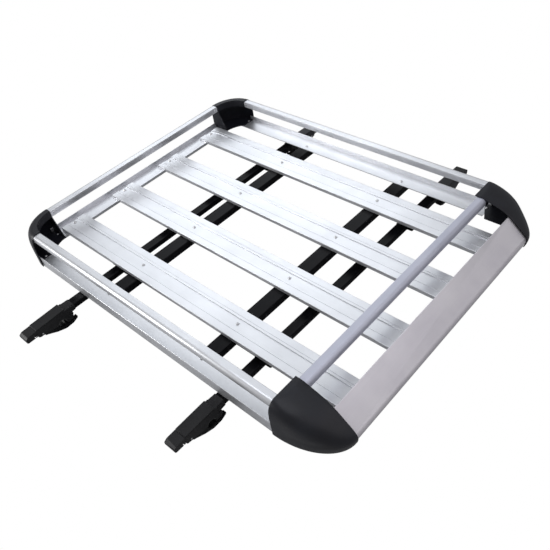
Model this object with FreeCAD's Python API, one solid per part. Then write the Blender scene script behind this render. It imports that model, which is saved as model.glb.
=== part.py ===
# Roof cargo basket: aluminium slats and rails in plastic corner shells, bolted to two
# mount bars, carried by two crossbars whose feet clamp on a car's roof rails.
# Millimetres, +Z up.  X runs along the slats (the car's length), Y across the car.
import os
from math import cos, radians, sin, tan

import FreeCAD
import Part

V = FreeCAD.Vector

# ---- deck ----
SLAT_COUNT = 4
SLAT_PITCH = 212.7
SLAT_WIDTH = 93.0
SLAT_HEIGHT = 12.5          # slat tops are at z = 0 while modelling
SLAT_SKIN = 2.0
SLAT_END = 587.0            # slats run from -SLAT_END to +SLAT_END
CHANNEL_WIDTH = 33.0        # shallow bolt channel along each slat
CHANNEL_DEPTH = 3.0
GROOVE_INSET = 7.5          # fine groove beside the channel
GROOVE_DEPTH = 1.0

# ---- lower rails ----
LEDGE_INNER_X = 558.0       # inner edge of the ledge on the -X side
LEDGE_INNER_Y = 438.0       # inner edge of the ledge on the +Y and -Y sides
LEDGE_WIDTH = 54.0
LEDGE_SKIN = 2.5
LIP_DEPTH = 10.0            # lip under the ends of the slats
WALL = 3.0
WALL_RISE = 15.5            # outer wall above the ledge
WALL_DROP = 25.5            # outer wall below the ledge
RAIL_TUCK = 12.0            # how far a lower rail reaches into a corner shell
WING_INNER_X = 566.0        # inner edge of the ledge under the wing on the +X side
WING_TUCK = 5.0

# ---- upper rails: one D-shaped tube ----
UPPER_WIDTH = 28.0
UPPER_TOP = 81.0
UPPER_BOTTOM = 59.0
UPPER_SKIN = 2.0
UPPER_INNER_Y = 460.0
UPPER_INNER_REAR = 582.0    # -X side
UPPER_INNER_FRONT = 492.5   # +X side

# ---- corner shells: quarter ellipses about these inner corners ----
REAR_CORNER = (514.0, 380.0)
FRONT_CORNER = (485.0, 399.0)
SHELL_SKIN = 3.0
ELLIPSE = 0.552             # fullness that makes a quarter outline an ellipse
REAR_SECTIONS = (           # (z, reach along X, reach along Y, fullness) of the outer surface
    (-34.5, 104.7, 118.8, ELLIPSE), (-20.0, 105.0, 119.0, ELLIPSE), (0.0, 105.0, 119.0, ELLIPSE),
    (20.0, 105.0, 119.0, ELLIPSE), (42.0, 104.4, 118.4, ELLIPSE), (52.0, 103.6, 117.4, ELLIPSE),
    (60.0, 102.4, 115.8, ELLIPSE), (67.0, 100.6, 113.6, ELLIPSE), (73.0, 98.0, 110.6, ELLIPSE),
    (78.0, 94.4, 106.6, ELLIPSE), (82.0, 89.0, 100.6, ELLIPSE), (84.2, 82.0, 93.5, ELLIPSE))
FRONT_SECTIONS = (
    (-34.5, 165.6, 100.0, 0.545), (-28.0, 168.2, 100.8, 0.552), (-21.0, 170.4, 100.8, 0.552),
    (-14.0, 171.8, 100.8, 0.552), (-7.0, 172.0, 100.8, 0.552), (0.0, 170.0, 100.8, 0.56),
    (8.0, 164.5, 100.8, 0.59), (22.0, 149.5, 100.8, 0.66), (36.0, 132.0, 100.6, 0.73),
    (50.0, 114.0, 99.8, 0.77), (60.0, 98.0, 98.2, 0.775), (68.0, 80.0, 95.4, 0.77),
    (75.0, 57.0, 91.4, 0.75), (80.5, 36.0, 84.5, 0.72), (84.2, 16.0, 75.0, 0.69))

FLOOR_SKIN = 3.0
TONGUE_REACH = 30.0         # shell tongue inside a rail

# ---- bars ----
MOUNT_BAR_X = 203.0
MOUNT_BAR_WIDTH = 46.0
MOUNT_BAR_HEIGHT = 25.0
MOUNT_BAR_HALF = 486.0
MOUNT_BAR_SKIN = 2.0
CROSSBAR_X = 306.5
CROSSBAR_WIDTH = 32.0
CROSSBAR_HEIGHT = 18.0
CROSSBAR_HALF = 575.0
CROSSBAR_SKIN = 1.5
CROSSBAR_SHIFT_Y = -36.0    # the -X crossbar sits this far along Y from the other
BARS_SHIFT_X = -4.0         # all the bars sit this far back of the deck's middle
BRIDGE_SKIN = 3.0
BRIDGE_Y = 330.0
BRIDGE_WIDTH = 44.0

# ---- fasteners: M6 ----
BOLT_R = 3.0
HOLE_R = 3.3
HEAD_R = 5.6
HEAD_H = 3.4
NUT_R = 5.8
NUT_H = 5.0
SLAT_BOLT_X = 575.0
EDGE_BOLT_INSET = 17.0      # ledge bolt from the ledge's inner edge
SCREW_R = 1.8
SCREW_HOLE_R = 1.9
SCREW_INSET = 13.3          # rail screw from the corner, along the rail
SCREW_Z = 70.0
TAB_SCREW_R = 2.1           # screws through the shells' floors
TAB_HOLE_R = 2.2
REAR_TAB_X = -520.0
FRONT_TAB_X = 491.0
TAB_Y = 474.0
REAR_SIDE_SCREW = (70.0, 7.6)      # from the rear corner, over the end ledge

# ---- crossbar foot, along the bar (v, outwards) and up (z) ----
FOOT_WIDTH = 37.0
LEG_HALF = 16.5             # half width of the inner leg above the lever
WEB_HALF = 6.0              # half width of the leg's web, which stands on the ground
NECK_START = 499.0
NECK_END = 524.0
COVER_START = 532.5
SEAM_V = 632.0              # where the end flap meets the body
RAIL_V = 552.0              # centre of the roof rail
RAIL_Z = -79.0
RAIL_R = 13.0
PAD_SKIN = 3.0
LEVER_WIDTH = 20.0          # the lever's arm, inside the foot
SHOE_HALF = 17.0            # half width of the lever below the foot
LEVER_PIN_V = 617.0
LEVER_PIN_Z = -64.0
LEVER_EYE_R = 5.3
LOOP_V = 620.0              # pull loop of the lever
LOOP_Z = -76.5
LOOP_R = 6.8
LOOP_HOLE_R = 4.2
LOOP_HALF = 4.5
PIN_R = 2.5
LEVER_OPEN_GAP = 0.5        # clear of the foot on each side
FLAP_PIN_V = 636.5
FLAP_PIN_Z = -58.0
FLAP_PIN_R = 1.5
KNUCKLE_R = 4.2
KNUCKLE_HALF = 11.5         # flap knuckle, across the foot
LOCK_V = 603.0
LOCK_Z = -51.0
LOCK_R = 5.5
LOCK_DEPTH = 12.0
FOOT_SCREWS_V = (541.0, 563.0)
RUN = 0.05                  # radial running clearance

# ---- the row frame: middle of the footprint, on the ground ----
ORIGIN = V(-19.5, 18.0, 104.5)

LEDGE_TOP = -SLAT_HEIGHT
MOUNT_TOP = LEDGE_TOP - LEDGE_SKIN
MOUNT_BOTTOM = MOUNT_TOP - MOUNT_BAR_HEIGHT
CROSSBAR_TOP = MOUNT_BOTTOM - BRIDGE_SKIN
CROSSBAR_BOTTOM = CROSSBAR_TOP - CROSSBAR_HEIGHT
LEDGE_BOLT_Y = LEDGE_INNER_Y + EDGE_BOLT_INSET
BRIDGE_BOLT_Y = SLAT_PITCH * (SLAT_COUNT - 1) / 2.0
CLAMP_BOLTS = (CROSSBAR_X - 22.0, CROSSBAR_X + 22.0)
BRIDGE_END = CROSSBAR_X + 31.0
MOUNT_LINES = (BARS_SHIFT_X - MOUNT_BAR_X, BARS_SHIFT_X + MOUNT_BAR_X)
REAR_SIDE_SPOT = (-REAR_CORNER[0] - REAR_SIDE_SCREW[0], REAR_CORNER[1] + REAR_SIDE_SCREW[1])
FOOT_TOP = CROSSBAR_TOP + 2.0
FOOT_HALF = FOOT_WIDTH / 2.0
SADDLE_R = RAIL_R + PAD_SKIN


# ---------------------------------------------------------------- outlines
def rounded(points):
    """Closed wire in the XY plane through (x, y) or (x, y, corner radius) points."""
    corners = []
    count = len(points)
    for i, point in enumerate(points):
        here = V(point[0], point[1], 0)
        radius = point[2] if len(point) > 2 else 0.0
        if radius == 0.0:
            corners.append((here, here, here))
            continue
        before = V(points[i - 1][0], points[i - 1][1], 0) - here
        after = V(points[(i + 1) % count][0], points[(i + 1) % count][1], 0) - here
        before.normalize()
        after.normalize()
        half = before.getAngle(after) / 2.0
        reach = radius / tan(half)
        middle = (before + after).normalize()
        centre = here + middle * (radius / sin(half))
        corners.append((here + before * reach, centre - middle * radius, here + after * reach))
    edges = []
    for i, (start, middle, end) in enumerate(corners):
        if start != end:
            edges.append(Part.Arc(start, middle, end).toShape())
        following = corners[(i + 1) % count][0]
        if (following - end).Length > 1e-6:
            edges.append(Part.makeLine(end, following))
    return Part.Wire(edges)


def section(outline, *holes):
    """Flat face from an outline, less any holes in it."""
    face = Part.Face(rounded(outline))
    for hole in holes:
        face = face.cut(Part.Face(rounded(hole)))
    return face


def along_y(face, start, end):
    """Sweep a section drawn in (x, z) from y = start to y = end."""
    solid = face.extrude(V(0, 0, end - start))
    solid.rotate(V(0, 0, 0), V(1, 0, 0), 90)
    solid.translate(V(0, end, 0))
    return solid


def along_x(face, start, end):
    """Sweep a section drawn in (y, z) from x = start to x = end."""
    solid = face.extrude(V(0, 0, end - start))
    solid.rotate(V(0, 0, 0), V(1, 1, 1), 120)
    solid.translate(V(start, 0, 0))
    return solid


def box(x0, x1, y0, y1, z0, z1):
    return Part.makeBox(x1 - x0, y1 - y0, z1 - z0, V(x0, y0, z0))


def post(x, y, z0, z1, radius):
    """Upright cylinder."""
    return Part.makeCylinder(radius, z1 - z0, V(x, y, z0))


def fused(shapes):
    """Join touching pieces into one solid."""
    return shapes[0].fuse(shapes[1:]).Solids[0]


def one(shapes):
    """Join touching pieces into one solid and merge their flush faces."""
    return fused(shapes).removeSplitter()


def flip_x(shape):
    return shape.mirror(V(0, 0, 0), V(1, 0, 0))


def flip_y(shape):
    return shape.mirror(V(0, 0, 0), V(0, 1, 0))


def hexagon(x, y, z0, z1, radius):
    """Upright hexagonal prism, radius to its corners."""
    corners = [(x + radius * cos(radians(60 * i)), y + radius * sin(radians(60 * i))) for i in range(6)]
    solid = section(corners).extrude(V(0, 0, z1 - z0))
    solid.translate(V(0, 0, z0))
    return solid


# ---------------------------------------------------------------- positions
def slat_centres():
    first = -SLAT_PITCH * (SLAT_COUNT - 1) / 2.0
    return [first + SLAT_PITCH * i for i in range(SLAT_COUNT)]


# ---------------------------------------------------------------- deck and rails
def groove(middle):
    """Fine groove in the top of a slat."""
    return [
        (middle - 1.2, 0), (middle - 0.8, -GROOVE_DEPTH), (middle + 0.8, -GROOVE_DEPTH), (middle + 1.2, 0)]


def slat(centre):
    """Hollow-backed plank with a shallow bolt channel between two fine grooves."""
    half = SLAT_WIDTH / 2.0
    mid = CHANNEL_WIDTH / 2.0
    skin = SLAT_SKIN
    web = mid + skin
    low = -SLAT_HEIGHT
    outline = [(centre - half, low), (centre - half, 0, 1.6)]
    outline += groove(centre - mid - GROOVE_INSET)
    outline += [
        (centre - mid, 0, 0.6), (centre - mid, -CHANNEL_DEPTH), (centre + mid, -CHANNEL_DEPTH),
        (centre + mid, 0, 0.6)]
    outline += groove(centre + mid + GROOVE_INSET)
    outline += [
        (centre + half, 0, 1.6), (centre + half, low), (centre + half - skin, low), (centre + half - skin, -skin), (centre + web, -skin), (centre + web, low),
        (centre - web, low), (centre - web, -skin), (centre - half + skin, -skin),
        (centre - half + skin, low)]
    hollow = [
        (centre - mid, low + skin), (centre - mid, -CHANNEL_DEPTH - skin),
        (centre + mid, -CHANNEL_DEPTH - skin), (centre + mid, low + skin)]
    solid = along_x(section(outline, hollow), -SLAT_END, SLAT_END)
    for x in (-SLAT_BOLT_X,) + MOUNT_LINES + (SLAT_BOLT_X,):
        solid = solid.cut(post(x, centre, low - 1, 1, HOLE_R))
    return solid


def ledge_section(inner, lip):
    """Ledge with a lip turned down inside (to a depth) and an upright wall outside."""
    wall = inner + LEDGE_WIDTH
    outer = wall + WALL
    top = LEDGE_TOP
    return section([
        (inner, top), (wall, top), (wall, top + WALL_RISE, 1.2), (outer, top + WALL_RISE, 1.4),
        (outer, top - 2.0, 4.0), (outer - 1.5, top - WALL_DROP, 1.0), (wall - 1.5, top - WALL_DROP, 1.0),
        (wall - 0.1, top - LEDGE_SKIN), (inner + 2.0, top - LEDGE_SKIN), (inner + 2.0, top - lip),
        (inner, top - lip)])


def side_lower_rail():
    """The lower rail on the +Y side."""
    start = -REAR_CORNER[0] - RAIL_TUCK
    end = FRONT_CORNER[0] + RAIL_TUCK
    solid = along_x(ledge_section(LEDGE_INNER_Y, LEDGE_SKIN - 0.01), start, end)
    holes = [post(x, LEDGE_BOLT_Y, LEDGE_TOP - 5, LEDGE_TOP + 1, HOLE_R) for x in MOUNT_LINES]
    for x in (REAR_TAB_X, FRONT_TAB_X):
        holes.append(post(x, TAB_Y, LEDGE_TOP - 5, LEDGE_TOP + 1, TAB_HOLE_R))
    return solid.cut(Part.makeCompound(holes))


def rear_lower_rail():
    half = REAR_CORNER[1] + RAIL_TUCK
    solid = flip_x(along_y(ledge_section(LEDGE_INNER_X, LIP_DEPTH), -half, half))
    holes = [post(-SLAT_BOLT_X, y, LEDGE_TOP - 5, LEDGE_TOP + 1, HOLE_R) for y in slat_centres()]
    for face in (-1, 1):
        spot = (REAR_SIDE_SPOT[0], face * REAR_SIDE_SPOT[1])
        holes.append(post(spot[0], spot[1], LEDGE_TOP - 5, LEDGE_TOP + 1, TAB_HOLE_R))
    return solid.cut(Part.makeCompound(holes))


def front_lower_rail():
    """Ledge under a hollow sloping wing that turns the wind over the load."""
    top = LEDGE_TOP
    low = top - LEDGE_SKIN
    outline = [
        (WING_INNER_X, top), (590.0, top), (590.0, 51.5, 1.6), (655.5, -7.0, 14.0), (646.0, -38.0, 1.0),
        (643.3, -38.0, 1.0), (649.0, low), (WING_INNER_X + 2.0, low), (WING_INNER_X + 2.0, top - LIP_DEPTH),
        (WING_INNER_X, top - LIP_DEPTH)]
    hollow = [(592.0, top), (592.0, 48.5), (651.5, -6.0, 9.0), (650.4, top)]
    half = FRONT_CORNER[1] + WING_TUCK
    solid = along_y(section(outline, hollow), -half, half)
    holes = [post(SLAT_BOLT_X, y, low - 5, top + 1, HOLE_R) for y in slat_centres()]
    return solid.cut(Part.makeCompound(holes))


def upper_section(inner, grow=0.0):
    """D-shaped outline of an upper rail, grown outwards by a margin."""
    return [
        (inner - grow, UPPER_BOTTOM - grow, 2.0), (inner - grow, UPPER_TOP + grow, 2.0),
        (inner + UPPER_WIDTH + grow, UPPER_TOP + grow, 11.0 + grow),
        (inner + UPPER_WIDTH + grow, UPPER_BOTTOM - grow, 4.0)]


def upper_tube(inner):
    return section(upper_section(inner), upper_section(inner, -UPPER_SKIN))


def side_upper_rail():
    """The upper rail on the +Y side."""
    solid = along_x(upper_tube(UPPER_INNER_Y), -REAR_CORNER[0] + 0.3, FRONT_CORNER[0] - 0.3)
    for x in (-REAR_CORNER[0] + SCREW_INSET, FRONT_CORNER[0] - SCREW_INSET):
        start = V(x, UPPER_INNER_Y - 1, SCREW_Z)
        solid = solid.cut(Part.makeCylinder(SCREW_HOLE_R, 4, start, V(0, 1, 0)))
    return solid


def end_upper_rail(inner, half):
    """An upper rail across the basket on the +X side."""
    solid = along_y(upper_tube(inner), -half + 0.3, half - 0.3)
    for y in (-half + SCREW_INSET, half - SCREW_INSET):
        start = V(inner - 1, y, SCREW_Z)
        solid = solid.cut(Part.makeCylinder(SCREW_HOLE_R, 4, start, V(1, 0, 0)))
    return solid


# ---------------------------------------------------------------- corner shells
def quarter(z, reach_x, reach_y, fullness=ELLIPSE):
    """Quarter outline about the origin, closed through it; a higher fullness is squarer."""
    curve = Part.BezierCurve()
    curve.setPoles([
        V(reach_x, 0, z), V(reach_x, reach_y * fullness, z), V(reach_x * fullness, reach_y, z),
        V(0, reach_y, z)])
    corner = V(0, 0, z)
    return Part.Wire([
        Part.makeLine(corner, V(reach_x, 0, z)), curve.toShape(), Part.makeLine(V(0, reach_y, z), corner)])


def bowl(sections, inset):
    """Loft the outlines; an inset one is that much smaller, and lowered towards the top."""
    wires = []
    for i, (z, reach_x, reach_y, fullness) in enumerate(sections):
        share = i / (len(sections) - 1.0)
        low = -2.0 if inset and i == 0 else -inset * share ** 3
        wires.append(quarter(z + low, reach_x - inset, reach_y - inset, fullness))
    return Part.makeLoft(wires, True, False)


def tongue_along_x(inner, outer_bowl):
    """Block behind the end of a rail along X, with a tongue that fits inside the rail."""
    root = box(0, 16, inner - 0.6, inner + 80, UPPER_BOTTOM - 0.6, UPPER_TOP + 3.5).common(outer_bowl)
    reach = along_x(section(upper_section(inner, -UPPER_SKIN - 0.15)), -TONGUE_REACH, 1.0)
    hole = Part.makeCylinder(SCREW_HOLE_R, 12, V(-SCREW_INSET, inner, SCREW_Z), V(0, 1, 0))
    return one([root, reach]).cut(hole)


def tongue_along_y(inner, outer_bowl):
    """The same for a rail along Y."""
    width = UPPER_WIDTH + 1.2
    root = box(inner - 0.6, inner + width, 0, 16, UPPER_BOTTOM - 0.6, UPPER_TOP + 3.5).common(outer_bowl)
    reach = along_y(section(upper_section(inner, -UPPER_SKIN - 0.15)), -TONGUE_REACH, 1.0)
    hole = Part.makeCylinder(SCREW_HOLE_R, 12, V(inner, -SCREW_INSET, SCREW_Z), V(1, 0, 0))
    return one([root, reach]).cut(hole)


def slab(face_edges, z0, z1):
    solid = Part.Face(Part.Wire(face_edges)).extrude(V(0, 0, z1 - z0))
    solid.translate(V(0, 0, z0))
    return solid


def lines(points):
    corners = [V(x, y, 0) for x, y in points]
    return [Part.makeLine(corners[i], corners[i + 1]) for i in range(len(corners) - 1)]


def rear_floor(outer_bowl):
    """Floor flange over both ledges, with a hollow curved inner edge."""
    inner_edge = Part.Arc(V(0, 64, 0), V(22, 36, 0), V(32, 0, 0)).toShape()
    wall_x = LEDGE_INNER_X + LEDGE_WIDTH - REAR_CORNER[0]
    wall_y = LEDGE_INNER_Y + LEDGE_WIDTH - REAR_CORNER[1]
    clear = RAIL_TUCK + 0.4
    edges = [inner_edge] + lines([
        (32, 0), (wall_x - 0.5, 0), (wall_x - 0.5, clear), (140, clear), (140, 140), (clear, 140),
        (clear, wall_y - 0.5), (0, wall_y - 0.5), (0, 64)])
    return slab(edges, LEDGE_TOP, LEDGE_TOP + FLOOR_SKIN).common(outer_bowl)


def rear_gusset(mouth_x, outer_bowl):
    """Slanting end wall across the window beside the rear rails."""
    wall_x = LEDGE_INNER_X + LEDGE_WIDTH - REAR_CORNER[0]
    face = section([
        (mouth_x, UPPER_BOTTOM + 2), (120, UPPER_BOTTOM + 2), (120, LEDGE_TOP + WALL_RISE + 1.5),
        (wall_x - 1, LEDGE_TOP + WALL_RISE + 1.5), (wall_x - 1, LEDGE_TOP), (33, LEDGE_TOP)])
    return along_y(face, 0.0, SHELL_SKIN).common(outer_bowl)


def front_floor(outer_bowl):
    wall_y = LEDGE_INNER_Y + LEDGE_WIDTH - FRONT_CORNER[1]
    clear = RAIL_TUCK + 0.4
    edges = lines([
        (0, 76), (24, 28), (190, 28), (190, 120), (clear, 120), (clear, wall_y - 0.5), (0, wall_y - 0.5),
        (0, 76)])
    return slab(edges, LEDGE_TOP, LEDGE_TOP + FLOOR_SKIN).common(outer_bowl)


def rear_rim(mouth_x, mouth_y):
    """Inner skirt of the rim, in line with the inner faces of the upper rails."""
    outside = slab(quarter(0, mouth_x, mouth_y).Edges, UPPER_BOTTOM, UPPER_TOP + 2.0)
    hollow = quarter(0, mouth_x - 2.5, mouth_y - 2.5)
    inside = slab(hollow.Edges, UPPER_BOTTOM - 1, UPPER_TOP + 3.0)
    return outside.cut(inside)


def rear_shell():
    """Corner shell at -X, +Y: curved wall, open top with a rim, floor, end wall, two tongues."""
    outer = bowl(REAR_SECTIONS, 0.0)
    inner = bowl(REAR_SECTIONS, SHELL_SKIN)
    mouth_x = UPPER_INNER_REAR - REAR_CORNER[0]
    mouth_y = UPPER_INNER_Y - REAR_CORNER[1]
    mouth = slab(quarter(0, mouth_x - 1.0, mouth_y - 1.0).Edges, 70, 90)
    shell = fused([
        outer.cut(inner).cut(mouth), rear_rim(mouth_x + 1.5, mouth_y + 1.5), rear_floor(outer),
        rear_gusset(mouth_x, outer), tongue_along_x(mouth_y, outer), tongue_along_y(mouth_x, outer)])
    tab = post(-REAR_TAB_X - REAR_CORNER[0], TAB_Y - REAR_CORNER[1], -20, 0, TAB_HOLE_R)
    side = post(REAR_SIDE_SCREW[0], REAR_SIDE_SCREW[1], -20, 0, TAB_HOLE_R)
    shell = shell.cut(tab).cut(side)
    shell.translate(V(REAR_CORNER[0], REAR_CORNER[1], 0))
    return flip_x(shell)


def front_shell():
    """Corner shell at +X, +Y: a closed dome over the ends of the wing and the rails."""
    outer = bowl(FRONT_SECTIONS, 0.0)
    inner = bowl(FRONT_SECTIONS, SHELL_SKIN)
    pieces = [
        outer.cut(inner), front_floor(outer),
        tongue_along_x(UPPER_INNER_Y - FRONT_CORNER[1], outer),
        tongue_along_y(UPPER_INNER_FRONT - FRONT_CORNER[0], outer)]
    shell = fused(pieces)
    shell = shell.cut(post(FRONT_TAB_X - FRONT_CORNER[0], TAB_Y - FRONT_CORNER[1], -20, 0, TAB_HOLE_R))
    shell.translate(V(FRONT_CORNER[0], FRONT_CORNER[1], 0))
    return shell


# ---------------------------------------------------------------- bars
def bolt_rows():
    """Y positions of the bolts through each mount bar."""
    return [-LEDGE_BOLT_Y] + slat_centres() + [LEDGE_BOLT_Y]


def mount_bar(x):
    half = MOUNT_BAR_WIDTH / 2.0
    skin = MOUNT_BAR_SKIN
    outline = [
        (x - half, MOUNT_BOTTOM, 3), (x - half, MOUNT_TOP, 3), (x + half, MOUNT_TOP, 3),
        (x + half, MOUNT_BOTTOM, 3)]
    hollow = [
        (x - half + skin, MOUNT_BOTTOM + skin, 1), (x - half + skin, MOUNT_TOP - skin, 1),
        (x + half - skin, MOUNT_TOP - skin, 1), (x + half - skin, MOUNT_BOTTOM + skin, 1)]
    solid = along_y(section(outline, hollow), -MOUNT_BAR_HALF, MOUNT_BAR_HALF)
    holes = [post(x, y, MOUNT_BOTTOM - 1, MOUNT_TOP + 1, HOLE_R) for y in bolt_rows()]
    return solid.cut(Part.makeCompound(holes))


def crossbar(x, shift):
    half = CROSSBAR_WIDTH / 2.0
    skin = CROSSBAR_SKIN
    outline = [
        (x - half, CROSSBAR_BOTTOM, 2.5), (x - half, CROSSBAR_TOP, 2.5), (x + half, CROSSBAR_TOP, 2.5),
        (x + half, CROSSBAR_BOTTOM, 2.5)]
    hollow = [
        (x - half + skin, CROSSBAR_BOTTOM + skin, 1), (x - half + skin, CROSSBAR_TOP - skin, 1),
        (x + half - skin, CROSSBAR_TOP - skin, 1), (x + half - skin, CROSSBAR_BOTTOM + skin, 1)]
    solid = along_y(section(outline, hollow), shift - CROSSBAR_HALF, shift + CROSSBAR_HALF)
    holes = []
    for v in FOOT_SCREWS_V:
        holes.append(post(x, shift + v, CROSSBAR_TOP - 3, CROSSBAR_TOP + 1, 2.0))
        holes.append(post(x, shift - v, CROSSBAR_TOP - 3, CROSSBAR_TOP + 1, 2.0))
    return solid.cut(Part.makeCompound(holes))


def bridge_plate():
    """Steel strap from the +X mount bar to the +X crossbar, +Y side."""
    half = BRIDGE_WIDTH / 2.0
    outline = [
        (MOUNT_BAR_X - 20, BRIDGE_Y - half, 4), (MOUNT_BAR_X - 20, BRIDGE_Y + half, 4),
        (BRIDGE_END, BRIDGE_Y + half, 4), (BRIDGE_END, BRIDGE_Y - half, 4)]
    solid = section(outline).extrude(V(0, 0, BRIDGE_SKIN))
    solid.translate(V(0, 0, CROSSBAR_TOP))
    holes = [post(MOUNT_BAR_X, BRIDGE_BOLT_Y, CROSSBAR_TOP - 1, MOUNT_BOTTOM + 1, HOLE_R)]
    for x in CLAMP_BOLTS:
        holes.append(post(x, BRIDGE_Y, CROSSBAR_TOP - 1, MOUNT_BOTTOM + 1, HOLE_R))
    return solid.cut(Part.makeCompound(holes))


def clamp_plate():
    """Steel plate drawn up under the crossbar."""
    half = 16.0
    outline = [
        (CROSSBAR_X - 29, BRIDGE_Y - half, 4), (CROSSBAR_X - 29, BRIDGE_Y + half, 4),
        (BRIDGE_END, BRIDGE_Y + half, 4), (BRIDGE_END, BRIDGE_Y - half, 4)]
    solid = section(outline).extrude(V(0, 0, BRIDGE_SKIN))
    solid.translate(V(0, 0, CROSSBAR_BOTTOM - BRIDGE_SKIN))
    holes = [post(x, BRIDGE_Y, CROSSBAR_BOTTOM - 5, CROSSBAR_BOTTOM + 1, HOLE_R) for x in CLAMP_BOLTS]
    return solid.cut(Part.makeCompound(holes))


# ---------------------------------------------------------------- fasteners
def button_bolt(x, y, seat, length):
    """Domed bolt, head up, seated at z = seat, with a hexagon socket."""
    dome = Part.makeCone(HEAD_R, HEAD_R * 0.62, HEAD_H, V(x, y, seat))
    shank = post(x, y, seat - length, seat + 0.5, BOLT_R)
    return one([dome, shank]).cut(hexagon(x, y, seat + HEAD_H - 2, seat + HEAD_H + 1, 2.3))


def nut(x, y, top):
    return hexagon(x, y, top - NUT_H, top, NUT_R).cut(post(x, y, top - NUT_H - 1, top + 1, BOLT_R))


def mount_bolts():
    bolts = []
    for x in (-MOUNT_BAR_X, MOUNT_BAR_X):
        for y in bolt_rows():
            on_slat = abs(y) < LEDGE_INNER_Y
            seat = -CHANNEL_DEPTH if on_slat else LEDGE_TOP
            low = MOUNT_BOTTOM - NUT_H - 3.0
            if abs(y) > SLAT_PITCH and on_slat:
                low -= BRIDGE_SKIN
            bolts.append(button_bolt(x, y, seat, seat - low))
    return Part.makeCompound(bolts)


def deck_nuts():
    """Nuts under the mount bars and, at the slat ends, under the ledges."""
    nuts = [nut(x, y, MOUNT_TOP) for x in (-SLAT_BOLT_X, SLAT_BOLT_X) for y in slat_centres()]
    for x in MOUNT_LINES:
        for y in bolt_rows():
            bridged = SLAT_PITCH < abs(y) < LEDGE_INNER_Y
            nuts.append(nut(x, y, CROSSBAR_TOP if bridged else MOUNT_BOTTOM))
    return Part.makeCompound(nuts)


def slat_spacers():
    """Nylon washers between the slats and the mount bars."""
    rings = []
    for x in (-MOUNT_BAR_X, MOUNT_BAR_X):
        for y in slat_centres():
            rings.append(post(x, y, MOUNT_TOP, LEDGE_TOP, 14).cut(post(x, y, MOUNT_TOP - 1, 0, HOLE_R)))
    return Part.makeCompound(rings)


def slat_end_bolts():
    length = LEDGE_SKIN + SLAT_HEIGHT - CHANNEL_DEPTH + NUT_H + 2.0
    return Part.makeCompound([
        button_bolt(x, y, -CHANNEL_DEPTH, length) for x in (-SLAT_BOLT_X, SLAT_BOLT_X) for y in slat_centres()])


def clamp_bolts():
    bolts = []
    for x in CLAMP_BOLTS:
        head = hexagon(x, BRIDGE_Y, MOUNT_BOTTOM, MOUNT_BOTTOM + 4.0, NUT_R)
        shank = post(x, BRIDGE_Y, CROSSBAR_BOTTOM - BRIDGE_SKIN - NUT_H - 3, MOUNT_BOTTOM + 1, BOLT_R)
        bolts.append(one([head, shank]))
    return four(Part.makeCompound(bolts))


def clamp_nuts():
    top = CROSSBAR_BOTTOM - BRIDGE_SKIN
    return four(Part.makeCompound([nut(x, BRIDGE_Y, top) for x in CLAMP_BOLTS]))


def four(shape):
    """The shape and its mirror images at all four corners."""
    pair = [shape, flip_x(shape)]
    return Part.makeCompound(pair + [flip_y(item) for item in pair])


def screw_into(start, direction, length, radius, head):
    """Countersunk-style screw with a low head standing on the surface at start."""
    shank = Part.makeCylinder(radius, length, start, direction)
    cap = Part.makeCone(head, head * 0.6, 1.8, start, direction * -1.0)
    return one([shank, cap])


def rail_screws():
    """Screws through the inner faces of the upper rails into the shells' tongues."""
    screws = []
    for x in (-REAR_CORNER[0] + SCREW_INSET, FRONT_CORNER[0] - SCREW_INSET):
        for face in (-1, 1):
            start = V(x, face * UPPER_INNER_Y, SCREW_Z)
            screws.append(screw_into(start, V(0, face, 0), 11, SCREW_R, 3.6))
    for half, inner, face in ((REAR_CORNER[1], UPPER_INNER_REAR, -1), (FRONT_CORNER[1], UPPER_INNER_FRONT, 1)):
        for side in (-1, 1):
            start = V(face * inner, side * (half - SCREW_INSET), SCREW_Z)
            screws.append(screw_into(start, V(face, 0, 0), 11, SCREW_R, 3.6))
    return Part.makeCompound(screws)


def shell_screws():
    """Screws through the shells' floors into the ledges."""
    screws = []
    for x, y in ((REAR_TAB_X, TAB_Y), (FRONT_TAB_X, TAB_Y), REAR_SIDE_SPOT):
        for face in (-1, 1):
            start = V(x, face * y, LEDGE_TOP + FLOOR_SKIN)
            screws.append(screw_into(start, V(0, 0, -1), 9, TAB_SCREW_R, 4.0))
    return Part.makeCompound(screws)


# ---------------------------------------------------------------- feet
# A foot is drawn at x = 0 with y measured outwards from the crossbar's middle.
def frame_at(v, half, low, high):
    """Upright rounded rectangle across the bar at distance v."""
    wire = rounded([(-half, low, 3), (-half, high, 3), (half, high, 3), (half, low, 3)])
    wire.rotate(V(0, 0, 0), V(1, 0, 0), 90)
    wire.translate(V(0, v, 0))
    return wire


def across(v, z, radius, half):
    """Cylinder across the foot."""
    return Part.makeCylinder(radius, 2 * half, V(-half, v, z), V(1, 0, 0))


def foot_screw(v):
    """Countersunk screw that fixes the foot to the crossbar."""
    cone = Part.makeCone(2.0, 4.0, 2.0, V(0, v, CROSSBAR_TOP))
    return one([cone, post(0, v, CROSSBAR_TOP - 8, CROSSBAR_TOP + 1, 1.9)])


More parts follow.
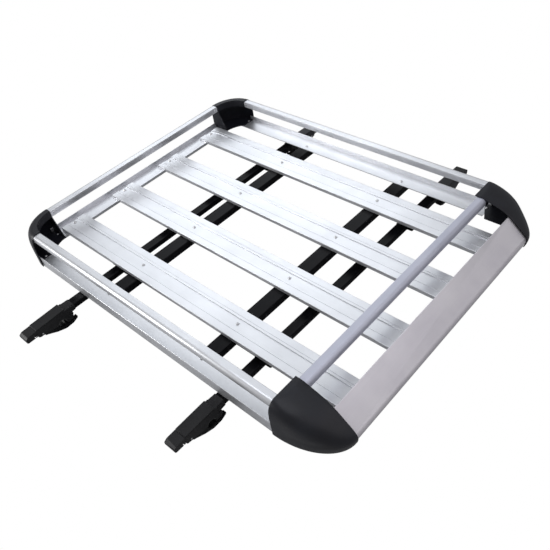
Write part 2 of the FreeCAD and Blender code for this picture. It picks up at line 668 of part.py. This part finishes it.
def foot_core():
    """Outside of the foot: neck round the bar, block over the roof rail, inner leg, hinge eyes."""
    outline = [
        (NECK_END, FOOT_TOP), (SEAM_V, FOOT_TOP, 1.0), (SEAM_V, -68.0, 3.0), (606.0, -72.0, 6.0),
        (571.0, -77.0, 2.0), (RAIL_V, -77.0), (RAIL_V - 14.5, RAIL_Z), (514.0, RAIL_Z), (514.0, -64.5, 4.0),
        (NECK_END, -64.5)]
    leg = [(RAIL_V - 14.5, -70.0), (RAIL_V - 14.5, -88.0), (516.0, -88.0, 5.0), (512.0, -70.0)]
    web = [(RAIL_V - 14.5, -80.0), (RAIL_V - 14.5, -104.5, 2.5), (514.0, -104.5, 6.0), (514.0, -80.0)]
    core = along_x(section(outline), -FOOT_HALF, FOOT_HALF)
    leg = along_x(section(leg), -LEG_HALF, LEG_HALF)
    web = along_x(section(web), -WEB_HALF, WEB_HALF)
    neck = Part.makeLoft([
        frame_at(NECK_START, CROSSBAR_WIDTH / 2.0 + 1.6, -62.6, -41.4),
        frame_at(NECK_END, FOOT_HALF, -64.5, FOOT_TOP)], True)
    ears = []
    for side in (-1, 1):
        middle = side * (FOOT_HALF + KNUCKLE_HALF + 0.4) / 2.0
        half = (FOOT_HALF - KNUCKLE_HALF - 0.4) / 2.0
        eye = Part.makeCylinder(KNUCKLE_R, 2 * half, V(middle - half, FLAP_PIN_V, FLAP_PIN_Z), V(1, 0, 0))
        bridge = box(
            middle - half, middle + half, SEAM_V - 1, FLAP_PIN_V, FLAP_PIN_Z - KNUCKLE_R,
            FLAP_PIN_Z + KNUCKLE_R)
        ears += [eye, bridge]
    return one([core, leg, web, neck] + ears)


def foot_body():
    """Foot housing: bar socket, saddle over the roof rail, slot for the lever, flap hinge."""
    slot = LEVER_WIDTH / 2.0 + LEVER_OPEN_GAP
    lever_slot = along_x(section([
        (556.0, -120.0), (556.0, -80.0), (574.0, -76.0), (600.0, -58.0), (SEAM_V + 9, -58.0),
        (SEAM_V + 9, -120.0)]), -slot, slot)
    bar_half = CROSSBAR_WIDTH / 2.0
    socket = box(-bar_half, bar_half, NECK_START - 1, CROSSBAR_HALF, CROSSBAR_BOTTOM, CROSSBAR_TOP)
    cuts = [
        lever_slot, socket, across(RAIL_V, RAIL_Z, SADDLE_R, FOOT_HALF + 1),
        box(-12.5, 12.5, 612, SEAM_V + 1, -56.5, -44.5),
        across(LEVER_PIN_V, LEVER_PIN_Z, PIN_R, FOOT_HALF + 1),
        across(FLAP_PIN_V, FLAP_PIN_Z, FLAP_PIN_R, FOOT_HALF + 1),
        lock_cylinder_blank(RUN)]
    cuts += [foot_screw(v) for v in FOOT_SCREWS_V]
    body = foot_core()
    for cut in cuts:
        body = body.cut(cut)
    return body


def foot_cover():
    """Snap-on plate over the screws on top of the foot, thicker towards the bar."""
    outline = [
        (COVER_START, FOOT_TOP), (COVER_START, FOOT_TOP + 6.0, 1.5), (SEAM_V - 1.0, FOOT_TOP + 2.5, 1.0),
        (SEAM_V - 1.0, FOOT_TOP)]
    return along_x(section(outline), -FOOT_HALF + 0.4, FOOT_HALF - 0.4)


def lock_cylinder_blank(grow):
    return Part.makeCylinder(LOCK_R + grow, LOCK_DEPTH + 1, V(-FOOT_HALF - 1, LOCK_V, LOCK_Z), V(1, 0, 0))


def lock_cylinder():
    """Key lock in the side of the foot, with its keyway."""
    barrel = Part.makeCylinder(LOCK_R, LOCK_DEPTH - 0.5, V(-FOOT_HALF, LOCK_V, LOCK_Z), V(1, 0, 0))
    keyway = box(-FOOT_HALF - 1, -FOOT_HALF + 6, LOCK_V - 0.7, LOCK_V + 0.7, LOCK_Z - 3.2, LOCK_Z + 3.2)
    return barrel.cut(keyway)


def rail_pad():
    """Rubber lining of the saddle."""
    ring = across(RAIL_V, RAIL_Z, SADDLE_R, FOOT_HALF).cut(across(RAIL_V, RAIL_Z, RAIL_R, FOOT_HALF + 1))
    keep = along_x(section([
        (RAIL_V, RAIL_Z), (RAIL_V + 30, RAIL_Z + 8), (RAIL_V + 30, RAIL_Z + 30), (RAIL_V - 30, RAIL_Z + 30),
        (RAIL_V - 30, RAIL_Z + 8)]), -FOOT_HALF, FOOT_HALF)
    return ring.common(keep)


def clamp_lever():
    """Lever that swings under the roof rail: an arm on the pin, a wide shoe, a pull loop."""
    half = LEVER_WIDTH / 2.0
    arm = along_x(section([
        (LEVER_PIN_V, LEVER_PIN_Z + LEVER_EYE_R), (LEVER_PIN_V, -70.0), (612.0, -76.0), (580.0, -88.0),
        (572.0, -79.0), (600.0, -61.5, 4.0), (611.0, LEVER_PIN_Z + LEVER_EYE_R, 3.0)]), -half, half)
    shoe = along_x(section([
        (612.5, -71.4), (612.5, -76.5, 2.0), (604.0, -80.0, 10.0), (577.0, -94.0, 30.0),
        (549.0, -103.5, 25.0), (522.0, -102.0, 14.0), (505.0, -94.0, 2.5), (503.0, -86.5, 1.5),
        (510.0, -87.5, 3.0), (517.0, -91.0, 5.0), (538.4, -92.5), (RAIL_V, RAIL_Z), (566.0, -78.6),
        (571.2, -77.7), (606.2, -72.7)]), -SHOE_HALF, SHOE_HALF)
    stem = along_x(section([
        (612.0, -70.0), (LEVER_PIN_V + 4, LEVER_PIN_Z - 2), (LOOP_V + 6, LOOP_Z + 1),
        (LOOP_V - 5, LOOP_Z - 2)]), -LOOP_HALF, LOOP_HALF)
    lever = one([
        arm, shoe, stem, across(LEVER_PIN_V, LEVER_PIN_Z, LEVER_EYE_R, half),
        across(LOOP_V, LOOP_Z, LOOP_R, LOOP_HALF)])
    fork = WEB_HALF + 0.6
    for cut in (
            across(RAIL_V, RAIL_Z, RAIL_R + 0.4, SHOE_HALF + 1), across(LOOP_V, LOOP_Z, LOOP_HOLE_R, half + 1),
            across(LEVER_PIN_V, LEVER_PIN_Z, PIN_R + RUN, half + 1), box(-fork, fork, 495, 538.2, -110, -80)):
        lever = lever.cut(cut)
    return lever


def end_flap():
    """Hollow cap on the outer end of the foot, hinged along its lower edge."""
    start = SEAM_V + 0.3
    bottom = FLAP_PIN_Z - KNUCKLE_R
    outline = [
        (start, bottom, KNUCKLE_R - 0.05), (start, -40.5, 1.0), (660.0, -42.0, 8.0), (669.0, -48.0, 4.0),
        (669.0, bottom, 6.0)]
    skin = 2.5
    hollow = [
        (start - 1, bottom + skin), (start - 1, -43.1), (659.0, -44.6, 6.0), (666.5, -49.6, 2.0),
        (666.5, bottom + skin, 3.0)]
    cap = along_x(section(outline), -FOOT_HALF, FOOT_HALF)
    cavity = along_x(section(hollow), -FOOT_HALF + skin, FOOT_HALF - skin)
    knuckle = across(FLAP_PIN_V, FLAP_PIN_Z, KNUCKLE_R, KNUCKLE_HALF)
    web = box(-KNUCKLE_HALF, KNUCKLE_HALF, FLAP_PIN_V, FLAP_PIN_V + 8, bottom, bottom + skin)
    flap = one([cap.cut(cavity), knuckle, web])
    for side in (-1, 1):
        x0, x1 = sorted((side * KNUCKLE_HALF, side * (FOOT_HALF + 1)))
        eye = Part.makeCylinder(KNUCKLE_R + 2.2, x1 - x0, V(x0, FLAP_PIN_V, FLAP_PIN_Z), V(1, 0, 0))
        relief = box(x0, x1, SEAM_V, FLAP_PIN_V, bottom - 1, FLAP_PIN_Z + KNUCKLE_R + 2.2)
        flap = flap.cut(eye).cut(relief)
    return flap.cut(across(FLAP_PIN_V, FLAP_PIN_Z, FLAP_PIN_R + RUN, FOOT_HALF))


def lever_pin():
    return across(LEVER_PIN_V, LEVER_PIN_Z, PIN_R, FOOT_HALF)


def flap_pin():
    return across(FLAP_PIN_V, FLAP_PIN_Z, FLAP_PIN_R, FOOT_HALF)


def foot_screws():
    return Part.makeCompound([
        foot_screw(v).cut(hexagon(0, v, FOOT_TOP - 1.2, FOOT_TOP + 1, 1.8)) for v in FOOT_SCREWS_V])


def place(shape, front, left):
    """Move a part drawn for a +Y foot to its corner (front is +X, left is +Y)."""
    if not left:
        shape = flip_y(shape)
    x = CROSSBAR_X if front else -CROSSBAR_X
    y = 0.0 if front else CROSSBAR_SHIFT_Y
    moved = shape.copy()
    moved.translate(V(x, y, 0))
    return moved


CORNERS = {
    "front_left": (True, True), "front_right": (True, False), "rear_left": (False, True),
    "rear_right": (False, False)}


# ---------------------------------------------------------------- assembly
def basket():
    parts = {}
    for number, centre in enumerate(slat_centres(), 1):
        parts["slat_%d" % number] = slat(centre)
    left = side_lower_rail()
    parts["lower_rail_left"] = left
    parts["lower_rail_right"] = flip_y(left)
    parts["lower_rail_rear"] = rear_lower_rail()
    parts["lower_rail_front"] = front_lower_rail()
    left = side_upper_rail()
    parts["upper_rail_left"] = left
    parts["upper_rail_right"] = flip_y(left)
    parts["upper_rail_rear"] = flip_x(end_upper_rail(UPPER_INNER_REAR, REAR_CORNER[1]))
    parts["upper_rail_front"] = end_upper_rail(UPPER_INNER_FRONT, FRONT_CORNER[1])
    rear = rear_shell()
    front = front_shell()
    parts["corner_shell_rear_left"] = rear
    parts["corner_shell_rear_right"] = flip_y(rear)
    parts["corner_shell_front_left"] = front
    parts["corner_shell_front_right"] = flip_y(front)
    parts["rail_screws"] = rail_screws()
    parts["shell_screws"] = shell_screws()
    parts["slat_end_bolts"] = slat_end_bolts()
    parts["deck_nuts"] = deck_nuts()
    return parts


def carrier():
    parts = {
        "mount_bar_front": mount_bar(MOUNT_BAR_X), "mount_bar_rear": mount_bar(-MOUNT_BAR_X),
        "crossbar_front": crossbar(CROSSBAR_X, 0.0), "crossbar_rear": crossbar(-CROSSBAR_X, CROSSBAR_SHIFT_Y),
        "slat_spacers": slat_spacers(), "mount_bolts": mount_bolts(),
        "clamp_plates": four(clamp_plate()), "clamp_bolts": clamp_bolts(), "clamp_nuts": clamp_nuts()}
    plate = bridge_plate()
    for corner, (front, left) in CORNERS.items():
        turned = plate if front else flip_x(plate)
        parts["bridge_plate_" + corner] = turned if left else flip_y(turned)
    return parts


def feet():
    singles = {
        "foot_body_": foot_body(), "foot_cover_": foot_cover(), "clamp_lever_": clamp_lever(),
        "end_flap_": end_flap(), "lock_cylinder_": lock_cylinder(), "rail_pad_": rail_pad()}
    groups = {"lever_pins": lever_pin(), "flap_pins": flap_pin(), "foot_screws": foot_screws()}
    parts = {}
    for corner, (front, left) in CORNERS.items():
        for name, shape in singles.items():
            parts[name + corner] = place(shape, front, left)
    for name, shape in groups.items():
        parts[name] = Part.makeCompound([place(shape, front, left) for front, left in CORNERS.values()])
    return parts


os.makedirs("parts", exist_ok=True)
for group, shift in ((basket(), 0.0), (carrier(), BARS_SHIFT_X), (feet(), BARS_SHIFT_X)):
    for name, shape in group.items():
        moved = shape.copy()
        moved.translate(ORIGIN + V(shift, 0, 0))
        moved.exportStep("parts/" + name + ".step")
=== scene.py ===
# Looks of a roof cargo basket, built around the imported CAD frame.  Metres, +Z up.
import math

import bpy
from mathutils import Matrix, Vector

# ---- camera ----
CAMERA_PLACE = (1.1067, -0.9528, 1.3226)
CAMERA_AIM = (0.0560, -0.0320, 0.0)
CAMERA_ROLL = -9.80             # degrees
CAMERA_LENS = 40.53             # millimetres on a 36 mm sensor

# ---- edges ----
EDGE_ANGLE = 30.0               # degrees; sharper edges than this are rounded
SMALL_EDGE = 0.00025
METAL_EDGE = 0.0004
PLASTIC_EDGE = 0.0007
EDGE_SEGMENTS = 2
WELD_GAP = 0.000004             # joins the doubled points along a CAD solid's edges

# ---- light ----
WORLD_LIGHT = 0.42              # strength of the plain white surroundings
SOFTBOX_AIM = (0.0, 0.0, 0.1)   # the middle of the deck
SOFTBOXES = (                   # name, place, size, watts, colour
    ("window", (-2.3, 2.0, 2.6), (3.2, 2.4), 38.0, (0.90, 0.95, 1.0)),
    ("side", (-2.4, -2.6, 1.3), (2.0, 1.4), 75.0, (1.0, 1.0, 1.0)),
    ("wing", (2.8, 0.6, 2.6), (3.4, 2.6), 26.0, (0.98, 0.95, 1.0)),
    ("overhead", (0.3, -0.4, 3.4), (1.6, 1.6), 22.0, (0.9, 0.93, 1.0)))
FLOOR_SIZE = 60.0

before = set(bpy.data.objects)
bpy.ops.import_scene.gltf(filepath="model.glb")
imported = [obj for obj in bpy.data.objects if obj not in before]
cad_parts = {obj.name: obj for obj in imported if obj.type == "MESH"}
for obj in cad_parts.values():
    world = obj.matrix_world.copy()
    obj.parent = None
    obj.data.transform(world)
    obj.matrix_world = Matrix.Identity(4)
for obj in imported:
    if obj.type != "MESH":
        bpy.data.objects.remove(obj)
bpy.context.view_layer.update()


# ---------------------------------------------------------------- materials
def new_material(name):
    """Empty material, with its nodes, links, shader and object coordinates."""
    material = bpy.data.materials.new(name)
    material.use_nodes = True
    nodes = material.node_tree.nodes
    coords = nodes.new("ShaderNodeTexCoord")
    return material, nodes, material.node_tree.links, nodes["Principled BSDF"], coords


def stretched_noise(nodes, links, coords, scale, detail=3.0, stretch=(1.0, 1.0, 1.0)):
    """Noise fixed to the object; a small stretch value draws it out along that axis."""
    mapping = nodes.new("ShaderNodeMapping")
    mapping.inputs["Scale"].default_value = stretch
    noise = nodes.new("ShaderNodeTexNoise")
    noise.inputs["Scale"].default_value = scale
    noise.inputs["Detail"].default_value = detail
    links.new(coords.outputs["Object"], mapping.inputs["Vector"])
    links.new(mapping.outputs["Vector"], noise.inputs["Vector"])
    return noise.outputs["Fac"]


def spread(nodes, links, value, low, high):
    """Map a 0.3 to 0.7 noise onto low to high."""
    ramp = nodes.new("ShaderNodeMapRange")
    ramp.inputs["From Min"].default_value = 0.3
    ramp.inputs["From Max"].default_value = 0.7
    ramp.inputs["To Min"].default_value = low
    ramp.inputs["To Max"].default_value = high
    links.new(value, ramp.inputs["Value"])
    return ramp.outputs["Result"]


def blend_colours(nodes, links, factor, low, high):
    """Colour between low and high, as the factor goes from 0 to 1."""
    mix = nodes.new("ShaderNodeMix")
    mix.data_type = "RGBA"
    mix.inputs["A"].default_value = (*low, 1.0)
    mix.inputs["B"].default_value = (*high, 1.0)
    links.new(factor, mix.inputs["Factor"])
    return mix.outputs["Result"]


def bump(nodes, links, shader, height, depth, strength):
    """Relief of the given depth in metres."""
    node = nodes.new("ShaderNodeBump")
    node.inputs["Distance"].default_value = depth
    node.inputs["Strength"].default_value = strength
    links.new(height, node.inputs["Height"])
    links.new(node.outputs["Normal"], shader.inputs["Normal"])


def drawn_aluminium(name, along, low, high, roughness=0.34):
    """Satin anodised extrusion, with fine die lines along the axis it was drawn."""
    material, nodes, links, shader, coords = new_material(name)
    stretch = [1.0, 1.0, 1.0]
    stretch[along] = 0.01
    lines = stretched_noise(nodes, links, coords, 900.0, 4.0, stretch)
    clouds = stretched_noise(nodes, links, coords, 9.0, 3.0)
    tone = spread(nodes, links, clouds, 0.0, 1.0)
    links.new(blend_colours(nodes, links, tone, low, high), shader.inputs["Base Color"])
    rough = spread(nodes, links, lines, roughness, roughness + 0.1)
    links.new(rough, shader.inputs["Roughness"])
    shader.inputs["Metallic"].default_value = 0.85
    bump(nodes, links, shader, lines, 0.00003, 0.35)
    return material


def moulded_plastic(name, low, high, rough_low, rough_high, grain, shine):
    """Black moulded plastic with a fine spark-eroded grain and faint flow clouds."""
    material, nodes, links, shader, coords = new_material(name)
    clouds = stretched_noise(nodes, links, coords, 14.0, 4.0)
    tone = spread(nodes, links, clouds, 0.0, 1.0)
    links.new(blend_colours(nodes, links, tone, low, high), shader.inputs["Base Color"])
    links.new(spread(nodes, links, clouds, rough_low, rough_high), shader.inputs["Roughness"])
    pits = stretched_noise(nodes, links, coords, grain, 2.0)
    bump(nodes, links, shader, pits, 0.00008, 0.6)
    shader.inputs["Specular IOR Level"].default_value = shine
    return material


def black_coat(name, low, high, roughness):
    """Powder coat on steel: slight orange peel under a smooth gloss."""
    material, nodes, links, shader, coords = new_material(name)
    dust = stretched_noise(nodes, links, coords, 60.0, 5.0)
    tone = spread(nodes, links, dust, 0.0, 1.0)
    links.new(blend_colours(nodes, links, tone, low, high), shader.inputs["Base Color"])
    links.new(spread(nodes, links, dust, roughness, roughness + 0.05), shader.inputs["Roughness"])
    peel = stretched_noise(nodes, links, coords, 420.0, 2.0)
    bump(nodes, links, shader, peel, 0.00006, 0.5)
    shader.inputs["Specular IOR Level"].default_value = 0.08
    return material


def plated_steel(name, low, high):
    """Zinc plating: bright metal with small mottled crystals."""
    material, nodes, links, shader, coords = new_material(name)
    spots = stretched_noise(nodes, links, coords, 260.0, 3.0)
    tone = spread(nodes, links, spots, 0.0, 1.0)
    links.new(blend_colours(nodes, links, tone, low, high), shader.inputs["Base Color"])
    links.new(spread(nodes, links, spots, 0.24, 0.42), shader.inputs["Roughness"])
    shader.inputs["Metallic"].default_value = 1.0
    return material


def rubber(name):
    """Matt black rubber with dust in its pores."""
    material, nodes, links, shader, coords = new_material(name)
    dust = stretched_noise(nodes, links, coords, 120.0, 4.0)
    tone = spread(nodes, links, dust, 0.0, 1.0)
    dark = (0.018, 0.018, 0.018)
    links.new(blend_colours(nodes, links, tone, dark, (0.04, 0.04, 0.04)), shader.inputs["Base Color"])
    links.new(spread(nodes, links, dust, 0.75, 0.9), shader.inputs["Roughness"])
    bump(nodes, links, shader, dust, 0.0001, 0.6)
    return material


def make_materials():
    """Every finish on the basket, by the name that MATERIAL_OF uses."""
    bright = ((0.66, 0.67, 0.70), (0.74, 0.75, 0.78))
    # Darker, mauve-tinted copy of the bright aluminium: painted shade for the sloped front wing, which
    # is the same metal as the rails.
    mauve_painted_shade = ((0.62, 0.60, 0.64), (0.70, 0.68, 0.71))
    return {
        "along_x": drawn_aluminium("aluminium_drawn_along_x", 0, *bright),
        "along_y": drawn_aluminium("aluminium_drawn_along_y", 1, *bright),
        "wing": drawn_aluminium("aluminium_wing_painted_shade", 1, *mauve_painted_shade, roughness=0.5),
        "shell": moulded_plastic(
            "shell_plastic", (0.006, 0.006, 0.009), (0.010, 0.011, 0.016), 0.34, 0.46, 1500.0, 0.3),
        "foot": moulded_plastic(
            "foot_plastic", (0.004, 0.004, 0.005), (0.009, 0.009, 0.010), 0.4, 0.55, 1100.0, 0.28),
        "bar": black_coat("bar_coat", (0.002, 0.002, 0.003), (0.005, 0.005, 0.006), 0.30),
        "plate": black_coat("plate_coat", (0.005, 0.005, 0.006), (0.010, 0.010, 0.011), 0.32),
        "lever": black_coat("lever_coat", (0.005, 0.005, 0.006), (0.010, 0.010, 0.011), 0.30),
        "bolt": plated_steel("bolt_plating", (0.50, 0.50, 0.52), (0.72, 0.72, 0.73)),
        "rubber": rubber("pad_rubber"),
        # The front upper rail is the same aluminium as the other rails; this darker, lavender-grey
        # copy is painted shade for how the light falls on its face.
        "painted_shade_front_rail": drawn_aluminium(
            "aluminium_front_rail", 1, (0.50, 0.51, 0.59), (0.56, 0.57, 0.65), roughness=0.56),
    }


MATERIAL_OF = (                 # start of the node's name, finish, edge; the first match counts
    ("slat_spacers", "foot", SMALL_EDGE),
    ("slat_end_bolts", "bolt", SMALL_EDGE),
    ("slat_", "along_x", METAL_EDGE),
    # the front lower rail takes the darker mauve copy of the aluminium, with painted shade in its
    # colour
    ("lower_rail_front", "wing", METAL_EDGE),
    ("lower_rail_rear", "along_y", METAL_EDGE),
    ("lower_rail_", "along_x", METAL_EDGE),
    # the front upper rail takes the darker copy of the aluminium, with painted shade in its colour
    ("upper_rail_front", "painted_shade_front_rail", METAL_EDGE),
    ("upper_rail_rear", "along_y", METAL_EDGE),
    ("upper_rail_", "along_x", METAL_EDGE),
    ("corner_shell_", "shell", PLASTIC_EDGE),
    ("mount_bar_", "bar", METAL_EDGE),
    ("crossbar_", "bar", METAL_EDGE),
    ("bridge_plate_", "plate", METAL_EDGE),
    ("clamp_plates", "plate", METAL_EDGE),
    ("foot_body_", "foot", PLASTIC_EDGE),
    ("foot_cover_", "foot", METAL_EDGE),
    ("end_flap_", "foot", METAL_EDGE),
    ("clamp_lever_", "lever", PLASTIC_EDGE),
    ("rail_pad_", "rubber", METAL_EDGE),
    ("", "bolt", SMALL_EDGE))


def dress(node, piece, materials):
    """Give a CAD node its material and soft edges."""
    for prefix, kind, edge in MATERIAL_OF:
        if node.startswith(prefix):
            break
    piece.data.materials.clear()
    piece.data.materials.append(materials[kind])
    weld = piece.modifiers.new("weld", "WELD")
    weld.merge_threshold = WELD_GAP
    bevel = piece.modifiers.new("edges", "BEVEL")
    bevel.width = edge
    bevel.segments = EDGE_SEGMENTS
    bevel.limit_method = "ANGLE"
    bevel.angle_limit = math.radians(EDGE_ANGLE)


# ---------------------------------------------------------------- studio
def mix_shaders(nodes, links, factor, first, second):
    mix = nodes.new("ShaderNodeMixShader")
    links.new(factor, mix.inputs["Fac"])
    links.new(first, mix.inputs[1])
    links.new(second, mix.inputs[2])
    return mix.outputs["Shader"]


def white_to_camera(nodes, links, surroundings, white):
    """Show the camera plain white, while the object is lit by the other shader."""
    path = nodes.new("ShaderNodeLightPath")
    return mix_shaders(nodes, links, path.outputs["Is Camera Ray"], surroundings, white)


def pale_floor():
    """Paper-white floor: evenly lit to the camera, pale grey to the object, clear from below."""
    bpy.ops.mesh.primitive_plane_add(size=FLOOR_SIZE)
    floor = bpy.context.object
    floor.name = "studio_floor"
    material, nodes, links, shader, coords = new_material("floor_paint")
    shade = spread(nodes, links, stretched_noise(nodes, links, coords, 2.0), 0.0, 1.0)
    pale = blend_colours(nodes, links, shade, (0.40, 0.40, 0.40), (0.44, 0.44, 0.44))
    links.new(pale, shader.inputs["Base Color"])
    shader.inputs["Roughness"].default_value = 0.9
    glow = nodes.new("ShaderNodeEmission").outputs["Emission"]
    above = white_to_camera(nodes, links, shader.outputs["BSDF"], glow)
    below = nodes.new("ShaderNodeBsdfTransparent").outputs["BSDF"]
    backfacing = nodes.new("ShaderNodeNewGeometry").outputs["Backfacing"]
    surface = mix_shaders(nodes, links, backfacing, above, below)
    links.new(surface, nodes["Material Output"].inputs["Surface"])
    floor.data.materials.append(material)


def soft_light(name, place, size, watts, colour):
    """Rectangular softbox aimed at the middle of the deck."""
    data = bpy.data.lights.new(name, "AREA")
    data.color = colour
    data.shape = "RECTANGLE"
    data.size, data.size_y = size
    data.energy = watts
    light = bpy.data.objects.new(name, data)
    light.location = place
    direction = Vector(SOFTBOX_AIM) - Vector(place)
    light.rotation_euler = direction.to_track_quat("-Z", "Y").to_euler()
    bpy.context.scene.collection.objects.link(light)


def white_background(nodes, strength):
    background = nodes.new("ShaderNodeBackground")
    background.inputs["Color"].default_value = (1.0, 1.0, 1.0, 1.0)
    background.inputs["Strength"].default_value = strength
    return background.outputs["Background"]


def studio():
    """White surroundings and the softboxes."""
    bpy.context.scene.view_settings.view_transform = "Standard"
    world = bpy.data.worlds.new("studio_world")
    bpy.context.scene.world = world
    world.use_nodes = True
    nodes, links = world.node_tree.nodes, world.node_tree.links
    lit = white_background(nodes, WORLD_LIGHT)
    surface = white_to_camera(nodes, links, lit, white_background(nodes, 1.0))
    links.new(surface, nodes["World Output"].inputs["Surface"])
    for softbox in SOFTBOXES:
        soft_light(*softbox)


def place_camera():
    """Camera where the photographer stood."""
    data = bpy.data.cameras.new("camera")
    data.lens = CAMERA_LENS
    data.sensor_width = 36.0
    camera = bpy.data.objects.new("camera", data)
    bpy.context.scene.collection.objects.link(camera)
    direction = Vector(CAMERA_AIM) - Vector(CAMERA_PLACE)
    turn = direction.to_track_quat("-Z", "Y").to_matrix().to_4x4()
    roll = Matrix.Rotation(math.radians(CAMERA_ROLL), 4, "Z")
    camera.matrix_world = Matrix.Translation(CAMERA_PLACE) @ turn @ roll
    bpy.context.scene.camera = camera


studio()
place_camera()
pale_floor()
shared = make_materials()
for node_name, node_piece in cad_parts.items():
    dress(node_name, node_piece, shared)
